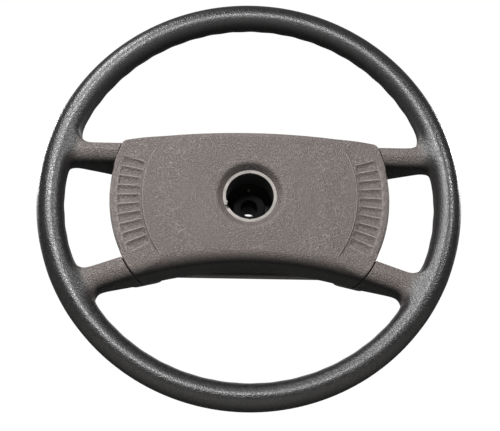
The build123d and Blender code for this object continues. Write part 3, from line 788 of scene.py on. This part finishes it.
# %% Feet of the spokes
FOOT_LOOPS = ((128.5, 46.0), (123.6, 41.7), (112.0, 41.7), (101.0, 41.7))
FOOT_ENDS = FOOT_LOOPS[0][0], FOOT_LOOPS[-1][0]
points, faces = [], []
for spoke in SPOKES:
    for side in (1, -1):
        loop = None
        for radius, top in FOOT_LOOPS:
            back = arm_back(radius)
            edge = min(EDGE_STEP, (top - back) / 3)
            half = spoke.width / 2
            places = (-half, -half + EDGE_STEP, 0, half - EDGE_STEP, half)
            heights = (top, top - edge, (top + back) / 2, back + edge, back)
            along = math.sqrt(radius**2 - spoke.rise**2)
            grid = {}
            for i in range(GRID):
                for j in range(GRID):
                    if (i, j) in BORDER or radius in FOOT_ENDS:
                        grid[i, j] = len(points)
                        points.append((*spoke_point(spoke, side, along, places[i]), heights[j]))
            if radius in FOOT_ENDS:
                fill(faces, grid)
            ring = [grid[place] for place in BORDER]
            if loop:
                bridge(faces, loop, ring)
            loop = ring
feet = new_piece("feet", row_frame(*np.array(points).T), faces)
point_outwards(feet)
subdivide(feet, SMOOTH_LEVELS - 1)
print("feet:", len(feet.data.polygons), "faces")

# %% [markdown]
# Booleans join the feet and the tray to the rim and the spokes, so that they are one moulding as on
# the real wheel, and cut the four holes through which the pad's screws are reached.

# %% One moulding
POST_PLACES, ACCESS_RADIUS = ((79.62, 33.80), (72.94, -46.50)), 6.5
ACCESS_SIDES = 48
shape = bmesh.new()
for across, up in POST_PLACES:
    for side in (1, -1):
        place = Matrix.Translation(Vector((side * across, -TRAY_BACK, up)) * MM)
        place = place @ Matrix.Rotation(math.pi / 2, 4, "X")
        bmesh.ops.create_cone(
            shape, cap_ends=True, segments=ACCESS_SIDES, radius1=ACCESS_RADIUS * MM,
            radius2=ACCESS_RADIUS * MM, depth=2.5 * TRAY_WALL * MM, matrix=place,
        )
access = new_piece("access_holes", [], [])
shape.to_mesh(access.data)
shape.free()

for cutter, operation in ((feet, "UNION"), (tray, "UNION"), (access, "DIFFERENCE")):
    join = grip.modifiers.new(cutter.name, "BOOLEAN")
    join.object, join.operation, join.solver = cutter, operation, "MANIFOLD"
    freeze(grip)
    bpy.data.objects.remove(cutter)
point_outwards(grip)
print("one moulding with", len(grip.data.polygons), "faces")

# %% [markdown]
# ## Horn springs
# Four small coil springs push the pad back out. A coil follows a path, so Geometry Nodes make it:
# a spiral curve gets a round wire as its profile. The nodes put it in its place, because a finished
# piece keeps its place in its mesh.

# %% Coil springs with Geometry Nodes
SPRING_FOOT, SPRING_TOP = 35.0, 49.5
WIRE, COIL_RADIUS, COIL_TURNS, END_CLEAR = 1.2, 4.9, 4.5, 0.1
SPRING_STEPS, WIRE_SIDES = 24, 10
SPRING = {
    "Turns": COIL_TURNS, "Radius": COIL_RADIUS * MM, "Wire": WIRE / 2 * MM,
    "Length": (SPRING_TOP - SPRING_FOOT - WIRE - 2 * END_CLEAR) * MM,
    "Across": 0.0, "Away": -(SPRING_FOOT + WIRE / 2 + END_CLEAR) * MM, "Up": 0.0,
}
tree, sizes = node_tree("coil_spring", SPRING)
spiral = add(tree, "GeometryNodeCurveSpiral", {
    "Resolution": SPRING_STEPS, "Rotations": sizes["Turns"], "Start Radius": sizes["Radius"],
    "End Radius": sizes["Radius"], "Height": sizes["Length"],
})
place = add(tree, "CombineXYZ", {"X": sizes["Across"], "Y": sizes["Away"], "Z": sizes["Up"]})
stood = add(tree, "GeometryNodeTransform", {
    "Geometry": spiral, "Translation": place, "Rotation": (math.pi / 2, 0, 0),
})
feeds = {"Resolution": WIRE_SIDES, "Radius": sizes["Wire"]}
wire = add(tree, "GeometryNodeCurvePrimitiveCircle", feeds)
feeds = {"Curve": stood, "Profile Curve": wire, "Fill Caps": True}
coil = add(tree, "GeometryNodeCurveToMesh", feeds)
spring_finish = bpy.data.materials.new("spring_steel_oiled")
finish_tree(tree, coil, spring_finish)

springs = {}
for level, (across, up) in zip(("upper", "lower"), POST_PLACES):
    for side, sign in (("left", -1), ("right", 1)):
        spring = new_piece(f"coil_{level}_{side}", [(0, 0, 0)], [])
        use_tree(spring, tree, {**SPRING, "Across": sign * across * MM, "Up": up * MM})
        foot = (sign * across * MM, -SPRING_FOOT * MM, up * MM)
        springs[f"horn_spring_{level}_{side}"] = (spring, foot)
print(len(springs), "springs of", len(spring.data.polygons), "faces")

# %% [markdown]
# ## Foam skin
# Rim, spokes and pad are polyurethane foam that forms its own skin in the mould and takes the
# leather grain of the mould's wall. On the rim the grain is coarse: cells of a Voronoi pattern,
# which a little noise bends so that no cell looks drawn with a ruler. The creases are the lines
# where two cells meet. On the pad and the spokes it is fine: pebbles from a plain noise.

# %% Leather cells and the start of a finish
BEND_WAVES = 0.4


def cells(tree, where, size, warp, crease):
    """Leather cells: their height, 0 in the creases and 1 on top, and a tone for each cell."""
    feeds = {"Vector": where, "Scale": BEND_WAVES / size, "Detail": 2.0}
    wander = add(tree, "TexNoise", feeds, out="Color")
    shift = add(tree, "VectorMath", {0: wander, 1: (0.5,) * 3}, operation="SUBTRACT")
    feeds = {0: shift, 1: (warp * size,) * 3, 2: where}
    bent = add(tree, "VectorMath", feeds, operation="MULTIPLY_ADD")
    feeds = {"Vector": bent, "Scale": 1 / size}
    edge = add(tree, "TexVoronoi", feeds, out="Distance", feature="DISTANCE_TO_EDGE")
    tone = add(tree, "TexVoronoi", feeds, out="Color")
    feeds = {"Value": edge, "From Max": crease}
    return add(tree, "MapRange", feeds, interpolation_type="SMOOTHSTEP"), tone


def start_finish(material, **sockets):
    """Set numbers straight on a material's shader; gives its tree, shader and coordinates."""
    material.use_nodes = True
    tree = material.node_tree
    shader = tree.nodes["Principled BSDF"]
    for socket, value in sockets.items():
        shader.inputs[socket.replace("_", " ")].default_value = value
    return tree, shader, add(tree, "TexCoord", out="Object")


print("leather cells are ready")

# %% [markdown]
# The skin of the pad is matt and sun-faded to a warm grey, darker in its creases: the eye sees dry,
# pebbled foam that scatters the light. The sharp edges, such as the ridges between the flutes, are
# painted paler: partly wear from thumbs and sleeves, partly a painted highlight where they catch
# the light. Faces that turn down and away from the light get painted shade: a near-black colour
# with hardly any gloss. Everything behind the pad's face is a dark grey, partly dirt and partly
# painted shade. The real grain is about 1 mm wide.
# It is drawn a little coarser, and deeper than it is, so that it shows at the photograph's size.

# %% Skin of the pad and the spokes
PAD_GRAIN, PAD_RELIEF, GRAIN_LOW, GRAIN_HIGH = 1.2 * MM, 0.7 * MM, 0.3, 0.68
MOTTLE = 45.0 * MM
FADED_DARK, FADED, CREASE = "#4f4846", "#5f5855", "#3d3735"
# Paler sharp edges are part wear, part painted highlight; the near-black is painted shade for faces
# turned from the light; the dark grey behind the pad's face is part dirt, part painted shade.
WORN_EDGE_HIGHLIGHT, PAINTED_UNDERSIDE_SHADE, BACK_DIRT_AND_SHADE = "#857d7a", "#0b0a0a", "#262322"
POINTY_FROM, POINTY_TO = 0.508, 0.556
# Direction of the light for the painted shade: faces turned away from it are darkened.
LIGHT_SIDE, SHADE_FROM, SHADE_TO = (0.0, -0.8, 0.6), -0.35, 0.70
BEHIND, IN_FRONT = -42.0 * MM, -48.0 * MM
SHADED_GLOSS, SHADED_ROUGH = 0.15, 0.85
CREASE_ROUGH, PEBBLE_ROUGH = 0.58, 0.44


def faded_skin(tree, where):
    """Faded skin with its pebbled grain: colour, roughness and height."""
    pebbles = add(tree, "TexNoise", {"Vector": where, "Scale": 1 / PAD_GRAIN, "Detail": 1.0})
    grain = add(tree, "MapRange", {"Value": pebbles, "From Min": GRAIN_LOW, "From Max": GRAIN_HIGH})
    mottle = add(tree, "TexNoise", {"Vector": where, "Scale": 1 / MOTTLE, "Detail": 3.0})
    faded = add(tree, "Mix", {0: mottle, 6: linear(FADED_DARK), 7: linear(FADED)}, data_type="RGBA")
    colour = add(tree, "Mix", {0: grain, 6: linear(CREASE), 7: faded}, data_type="RGBA")
    rough = add(tree, "MapRange", {"Value": grain, "To Min": CREASE_ROUGH, "To Max": PEBBLE_ROUGH})
    return colour, rough, grain


def dress(tree, shader, where, colour, rough, tall, relief):
    """Paint the sharp edges pale as wear and painted highlight, paint shade on faces turned from
    the light and on the backs, and link all of it to the shader.
    """
    surface = add(tree, "NewGeometry").node.outputs
    # Painted highlight and wear: sharp edges, found by their pointiness, are painted paler.
    feeds = {"Value": surface["Pointiness"], "From Min": POINTY_FROM, "From Max": POINTY_TO}
    pale_edge = add(tree, "MapRange", feeds)
    colour = add(tree, "Mix", {0: pale_edge, 6: colour, 7: linear(WORN_EDGE_HIGHLIGHT)}, data_type="RGBA")
    # Painted shade: faces that turn down and away from the light go near-black and lose their
    # gloss.
    facing = add(tree, "VectorMath", {0: surface["Normal"], 1: LIGHT_SIDE}, operation="DOT_PRODUCT")
    feeds = {"Value": facing, "From Min": SHADE_FROM, "From Max": SHADE_TO}
    lit_facing = add(tree, "MapRange", feeds, interpolation_type="SMOOTHSTEP")
    # Everything behind the pad's face goes dark grey, partly dirt and partly painted shade.
    away = add(tree, "SeparateXYZ", {0: where}, out="Y")
    front = add(tree, "MapRange", {"Value": away, "From Min": BEHIND, "From Max": IN_FRONT})
    for share, dull in ((lit_facing, PAINTED_UNDERSIDE_SHADE), (front, BACK_DIRT_AND_SHADE)):
        colour = add(tree, "Mix", {0: share, 6: linear(dull), 7: colour}, data_type="RGBA")
    full = shader.inputs["Specular IOR Level"].default_value
    gloss = add(tree, "Mix", {0: lit_facing, 2: SHADED_GLOSS, 3: full})
    gloss = add(tree, "Mix", {0: front, 2: full, 3: gloss})
    tree.links.new(gloss, shader.inputs["Specular IOR Level"])
    lit_facing = add(tree, "Math", {0: lit_facing, 1: front}, operation="MULTIPLY")
    rough = add(tree, "Mix", {0: lit_facing, 2: SHADED_ROUGH, 3: rough})
    bump = add(tree, "Bump", {"Height": tall, "Distance": relief, "Strength": 1.0})
    for socket, value in (("Base Color", colour), ("Roughness", rough), ("Normal", bump)):
        tree.links.new(value, shader.inputs[socket])


tree, shader, where = start_finish(pad_finish, Specular_IOR_Level=0.4)
dress(tree, shader, where, *faded_skin(tree, where), PAD_RELIEF)
print("skin of the pad:", pad_finish.name, len(tree.nodes), "nodes")

# %% [markdown]
# Hands have polished the rim, so its colour stayed dark and its skin shines: the eye sees long
# streaks of light that the grain breaks up. That grain is coarser: wrinkles of about 4 mm with
# small cells between them, each with its size, its bend and the width of its creases. The inside of
# the rim, which palms reach less, shines less. The spokes belong to the same moulding and carry the
# pad's grain, so the finish changes over by the distance from the shaft.

# %% Skin of the rim
WRINKLES, SMALL_CELLS, SMALL_SHARE = (4.2 * MM, 1.4, 0.16), (2.2 * MM, 0.9, 0.25), 0.4
RIM_RELIEF = 0.1 * MM
RIM_FROM, RIM_TO = 157.0 * MM, 171.0 * MM
RIM_COLOUR, RIM_POLISHED, RIM_CREASE = "#161515", "#201e1e", "#0a0a0a"
POLISH, NOISE_LOW, NOISE_HIGH = 18.0 * MM, 0.35, 0.65
DULLEST, SHINIEST, IN_CREASES, ON_INSIDE = 0.27, 0.17, 0.45, 0.38
SHARP_ANGLE = math.radians(32)
INSIDE, OUTSIDE = 174.0 * MM, 182.0 * MM

tree, shader, where = start_finish(grip_finish, Specular_IOR_Level=0.45)
colour, rough, tall = faded_skin(tree, where)
wrinkle, tone = cells(tree, where, *WRINKLES)
small, _ = cells(tree, where, *SMALL_CELLS)
worn = add(tree, "Mix", {0: SMALL_SHARE, 2: wrinkle, 3: small})
polish = add(tree, "TexNoise", {"Vector": where, "Scale": 1 / POLISH, "Detail": 4.0})
dark = add(tree, "Mix", {0: tone, 6: linear(RIM_COLOUR), 7: linear(RIM_POLISHED)}, data_type="RGBA")
dark = add(tree, "Mix", {0: worn, 6: linear(RIM_CREASE), 7: dark}, data_type="RGBA")
shine = add(tree, "MapRange", {
    "Value": polish, "From Min": NOISE_LOW, "From Max": NOISE_HIGH,
    "To Min": DULLEST, "To Max": SHINIEST,
})
shine = add(tree, "Mix", {0: worn, 2: IN_CREASES, 3: shine})
# Without its Y, the length of a place is its distance from the shaft
flat = add(tree, "VectorMath", {0: where, 1: (1.0, 0.0, 1.0)}, operation="MULTIPLY")
length = add(tree, "VectorMath", {0: flat}, operation="LENGTH")
held = add(tree, "MapRange", {"Value": length, "From Min": INSIDE, "From Max": OUTSIDE})
shine = add(tree, "Mix", {0: held, 2: ON_INSIDE, 3: shine})
feeds = {"Value": length, "From Min": RIM_FROM, "From Max": RIM_TO}
rim = add(tree, "MapRange", feeds, interpolation_type="SMOOTHSTEP")
colour = add(tree, "Mix", {0: rim, 6: colour, 7: dark}, data_type="RGBA")
rough = add(tree, "Mix", {0: rim, 2: rough, 3: shine})
tall = add(tree, "Mix", {0: rim, 2: tall, 3: worn})
relief = add(tree, "Mix", {0: rim, 2: PAD_RELIEF, 3: RIM_RELIEF})
dress(tree, shader, where, colour, rough, tall, relief)
for piece, material in ((pad, pad_finish), (grip, grip_finish)):
    piece.data.materials.clear()
    piece.data.materials.append(material)
    piece.data.shade_smooth()
    piece.data.set_sharp_from_angle(angle=SHARP_ANGLE)
print("skin of the rim:", grip_finish.name, len(tree.nodes), "nodes")

# %% [markdown]
# ## Plastics
# The badge ring and the cancelling cam are pale polyamide, yellowed and dusty in places. The
# sleeve, the guide bushes and the slip ring's carrier are black ABS with the fine sparkle of a
# spark-eroded mould. The insulators are brown phenolic resin with a cloudy flow pattern. One
# function makes all three: two colours mixed by a noise of a given size, and a mould texture as a
# bump. The table gives both colours, the size of the clouds in millimetres, the roughness and the
# depth of the texture. Real mould texture is finer and is drawn coarser, so that it shows.

# %% Plastic finishes
MOULD_TEXTURE = 0.7 * MM
PLASTICS = {
    "pale_plastic": ("polyamide_pale_moulded", "#6b6560", "#57524d", 9.0, 0.5, 0.02),
    "black_plastic": ("abs_black_spark_eroded", "#0d0d0e", "#070707", 6.0, 0.7, 0.03),
    "brown_plastic": ("phenolic_brown_moulded", "#4a2c1c", "#2f1b11", 5.0, 0.35, 0.02),
}


def moulded(name, light, dark, cloud, rough, depth):
    """Moulded plastic: cloudy colour and a fine mould texture."""
    material = bpy.data.materials.new(name)
    tree, shader, where = start_finish(material, Roughness=rough)
    cloudy = add(tree, "TexNoise", {"Vector": where, "Scale": 1 / (cloud * MM), "Detail": 4.0})
    share = add(tree, "MapRange", {"Value": cloudy, "From Min": NOISE_LOW, "From Max": NOISE_HIGH})
    colour = add(tree, "Mix", {0: share, 6: linear(dark), 7: linear(light)}, data_type="RGBA")
    grit = add(tree, "TexNoise", {"Vector": where, "Scale": 1 / MOULD_TEXTURE})
    bump = add(tree, "Bump", {"Height": grit, "Distance": depth * MM, "Strength": 1.0})
    tree.links.new(colour, shader.inputs["Base Color"])
    tree.links.new(bump, shader.inputs["Normal"])
    return material


finishes = {slot: moulded(*look) for slot, look in PLASTICS.items()}
print("plastics:", sorted(finishes))

# %% [markdown]
# ## Metals
# A metal's colour is that of its reflection. Drawn, turned and plated surfaces show fine lines: the
# noise that drives colour and roughness is stretched along one direction. The enamel on the spider
# is a dull black and the phosphate coat on the hub nearly swallows the light. They aren't bare
# metal, so they aren't metallic. Zinc plate is a soft pale grey, brass has tarnished brown in
# places, and the oiled spring wire shines most.

# %% Metal finishes
SCRATCH, SCRATCH_LENGTH = 0.5 * MM, 12.0 * MM


def scratched(material, light, dark, metallic, specular, smooth, rough):
    """Metal or coat whose colour and gloss vary along fine scratches."""
    tree, shader, where = start_finish(material, Metallic=metallic, Specular_IOR_Level=specular)
    stretch = (1 / SCRATCH_LENGTH, 1 / SCRATCH, 1 / SCRATCH)
    stretched = add(tree, "Mapping", {"Vector": where, "Scale": stretch})
    scratch = add(tree, "TexNoise", {"Vector": stretched, "Scale": 1.0, "Detail": 3.0})
    colour = add(tree, "Mix", {0: scratch, 6: linear(dark), 7: linear(light)}, data_type="RGBA")
    gloss = add(tree, "MapRange", {"Value": scratch, "To Min": smooth, "To Max": rough})
    tree.links.new(colour, shader.inputs["Base Color"])
    tree.links.new(gloss, shader.inputs["Roughness"])
    return material


# Name, light and dark colour, metallic, specular, least and greatest roughness
METALS = {
    "dark_steel": ("steel_black_stove_enamel", "#1b1b1b", "#0f0f0f", 0.0, 0.4, 0.55, 0.7),
    "hub_steel": ("steel_turned_phosphate", "#121214", "#0a0a0b", 0.0, 0.1, 0.75, 0.9),
    "zinc_steel": ("steel_zinc_plated", "#c9c4b0", "#a39c86", 1.0, 0.5, 0.3, 0.5),
    "brass": ("brass_tarnished", "#b8924a", "#7c5f2c", 1.0, 0.5, 0.3, 0.5),
}
for slot, (name, *look) in METALS.items():
    finishes[slot] = scratched(bpy.data.materials.new(name), *look)
finishes["spring_steel"] = scratched(spring_finish, "#9b9ba0", "#6d6d72", 1.0, 0.5, 0.25, 0.4)
print("finishes:", sorted(finishes))

# %% [markdown]
# ## Every hard piece gets its finish
# The solids of the inner pieces are right as they are, so they stay, and only their material slots
# change. A list says which slot of the record each kind of piece has.

# %% Finishes of the hard pieces
KINDS = {
    "pale_plastic": ("badge_ring", "cancel_cam"),
    "black_plastic": ("access_sleeve", "slip_ring_carrier", "guide_bush"),
    "brown_plastic": ("contact_insulator",),
    "dark_steel": ("rim_ring", "spoke_spider"),
    "hub_steel": ("hub_boss",),
    "zinc_steel": ("pad_carrier", "carrier_post", "shoulder_screws", "carrier_screws"),
    "brass": ("slip_ring", "terminal_stud", "contact_bridge", "moving_contact"),
}
slot_of = {kind: slot for slot, kinds in KINDS.items() for kind in kinds}
dressed = 0
for name, node in nodes.items():
    kinds = [kind for kind in slot_of if name.startswith(kind)]
    if kinds:
        slot = slot_of[max(kinds, key=len)]
        node.data.materials.clear()
        node.data.materials.append(finishes[slot])
        dressed += 1
print(dressed, "hard pieces dressed")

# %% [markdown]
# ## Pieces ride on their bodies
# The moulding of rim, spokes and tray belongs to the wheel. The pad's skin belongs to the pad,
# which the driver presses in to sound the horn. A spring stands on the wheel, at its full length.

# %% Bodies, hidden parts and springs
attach(grip, "wheel")
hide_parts("grip_moulding")
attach(pad, "pad")
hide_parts("horn_pad")
for node_name, (spring, foot) in springs.items():
    spring.data.shade_smooth()
    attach(spring, "wheel")
    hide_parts(node_name)
    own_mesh(spring)

# %% [markdown]
# ## Studio
# The wheel hangs where its shaft would hold it, over a plain pale floor. Four soft boxes light its
# front: one above, and three small ones that draw the long streaks on the polished rim. Two more
# light the back. The surround is white only behind the wheel, as the camera sees it, and dim
# everywhere else, so that the undersides stay dark. A box has a place, a diameter and a power.

# %% Floor, light and surround
FLOOR_LEVEL, FLOOR_HALF = -0.70, 6.0
SOFT_BOXES = (
    ("box_above", (-0.6, -0.8, 0.9), 0.5, 18.0),
    ("box_front", (-0.14, -1.3, 0.36), 0.2, 15.0),
    ("box_left", (-0.6, -1.3, 0.4), 0.25, 9.0),
    ("box_right", (0.85, -1.3, 0.43), 0.22, 12.0),
    ("box_back_left", (-1.2, 1.0, 0.7), 0.5, 18.0),
    ("box_back_right", (1.2, 1.0, 0.7), 0.5, 18.0),
)
BOX_AIM = Vector((0.0, -0.08, 0.0))
BACKDROP, ROOM = 1.02, 0.2
BACKDROP_WAY, BACKDROP_FROM, BACKDROP_TO = (0.0, 0.96, 0.28), 0.72, 0.92
PAPER_DARK, PAPER_LIGHT, PAPER_WAVES, PAPER_ROUGH = "#bbbab7", "#c4c3c0", 3.0, 0.9
SQUARE = ((-1, -1), (1, -1), (1, 1), (-1, 1))

corners = [(x * FLOOR_HALF, y * FLOOR_HALF, FLOOR_LEVEL) for x, y in SQUARE]
floor = new_piece("floor", corners, [(0, 1, 2, 3)])
floor_finish = bpy.data.materials.new("floor_pale_paper")
tree, shader, where = start_finish(floor_finish, Roughness=PAPER_ROUGH)
paper = add(tree, "TexNoise", {"Vector": where, "Scale": PAPER_WAVES, "Detail": 4.0})
feeds = {0: paper, 6: linear(PAPER_DARK), 7: linear(PAPER_LIGHT)}
paper = add(tree, "Mix", feeds, data_type="RGBA")
tree.links.new(paper, shader.inputs["Base Color"])
floor.data.materials.append(floor_finish)

for name, place, size, power in SOFT_BOXES:
    box = bpy.data.objects.new(name, bpy.data.lights.new(name, "AREA"))
    box.data.shape, box.data.size, box.data.energy = "DISK", size, power
    box.location = place
    box.rotation_euler = (BOX_AIM - box.location).to_track_quat("-Z", "Y").to_euler()
    bpy.context.scene.collection.objects.link(box)

world = bpy.data.worlds.new("white_surround")
world.use_nodes = True
tree = world.node_tree
way = add(tree, "TexCoord", out="Generated")
facing = add(tree, "VectorMath", {0: way, 1: BACKDROP_WAY}, operation="DOT_PRODUCT")
strength = add(tree, "MapRange", {
    "Value": facing, "From Min": BACKDROP_FROM, "From Max": BACKDROP_TO,
    "To Min": ROOM, "To Max": BACKDROP,
}, interpolation_type="SMOOTHSTEP")
background = tree.nodes["Background"]
background.inputs["Color"].default_value = linear("#ffffff")
tree.links.new(strength, background.inputs["Strength"])
bpy.context.scene.world = world
bpy.context.scene.view_settings.view_transform = "Standard"
print("floor at", FLOOR_LEVEL, "m,", len(SOFT_BOXES), "soft boxes")
